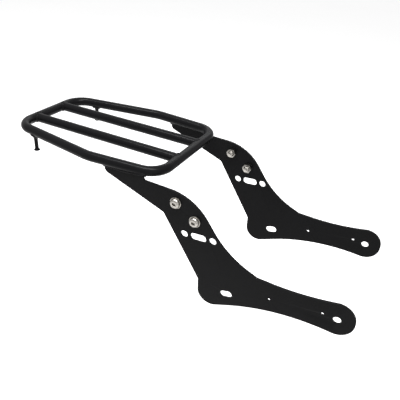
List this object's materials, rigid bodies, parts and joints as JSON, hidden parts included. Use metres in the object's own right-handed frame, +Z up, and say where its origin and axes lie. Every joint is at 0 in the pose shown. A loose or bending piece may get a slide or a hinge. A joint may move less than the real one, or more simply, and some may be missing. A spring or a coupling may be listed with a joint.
{
  "type": "luggage rack",
  "caption": "Rear luggage rack: bent tube hoop with two slat tubes on two S-shaped side plates with bores, slots and bolted fasteners.",
  "frame": {"origin": "midway between the two front bores, on their common axis", "axes": "+X forward, from the hoop towards the arms' ends; +Y left; +Z up, square to the plane of the hoop, towards the load"},
  "size_m": [0.543, 0.1972, 0.1815],
  "materials": {
    "powder_coat_tube": "satin black powder coat on steel tube",
    "powder_coat_plate": "satin black powder coat on flat steel plate",
    "powder_coat_weld": "satin black powder coat over a weld bead",
    "powder_coat_peg": "satin black powder coat on turned steel",
    "stainless_screw": "plain stainless steel, lightly brushed",
    "stainless_nut": "plain stainless steel",
    "stainless_washer": "plain stainless steel, punched flat"
  },
  "bodies": {
    "root": {"hoop": "powder_coat_tube", "slat_left": "powder_coat_tube", "slat_right": "powder_coat_tube", "side_plate_left": "powder_coat_plate", "side_plate_right": "powder_coat_plate", "slat_weld_rear_left": "powder_coat_weld", "slat_weld_rear_right": "powder_coat_weld", "slat_weld_front_left": "powder_coat_weld", "slat_weld_front_right": "powder_coat_weld", "plate_weld_left": "powder_coat_weld", "plate_weld_right": "powder_coat_weld", "peg_left": "powder_coat_peg", "peg_right": "powder_coat_peg", "peg_weld_left": "powder_coat_weld", "peg_weld_right": "powder_coat_weld", "screw_rear_left": "stainless_screw", "screw_rear_right": "stainless_screw", "screw_front_left": "stainless_screw", "screw_front_right": "stainless_screw", "nut_rear_left": "stainless_nut", "nut_rear_right": "stainless_nut", "nut_front_left": "stainless_nut", "nut_front_right": "stainless_nut", "washer_rear_left": "stainless_washer", "washer_rear_right": "stainless_washer", "washer_front_left": "stainless_washer", "washer_front_right": "stainless_washer"}
  },
  "joints": []
}
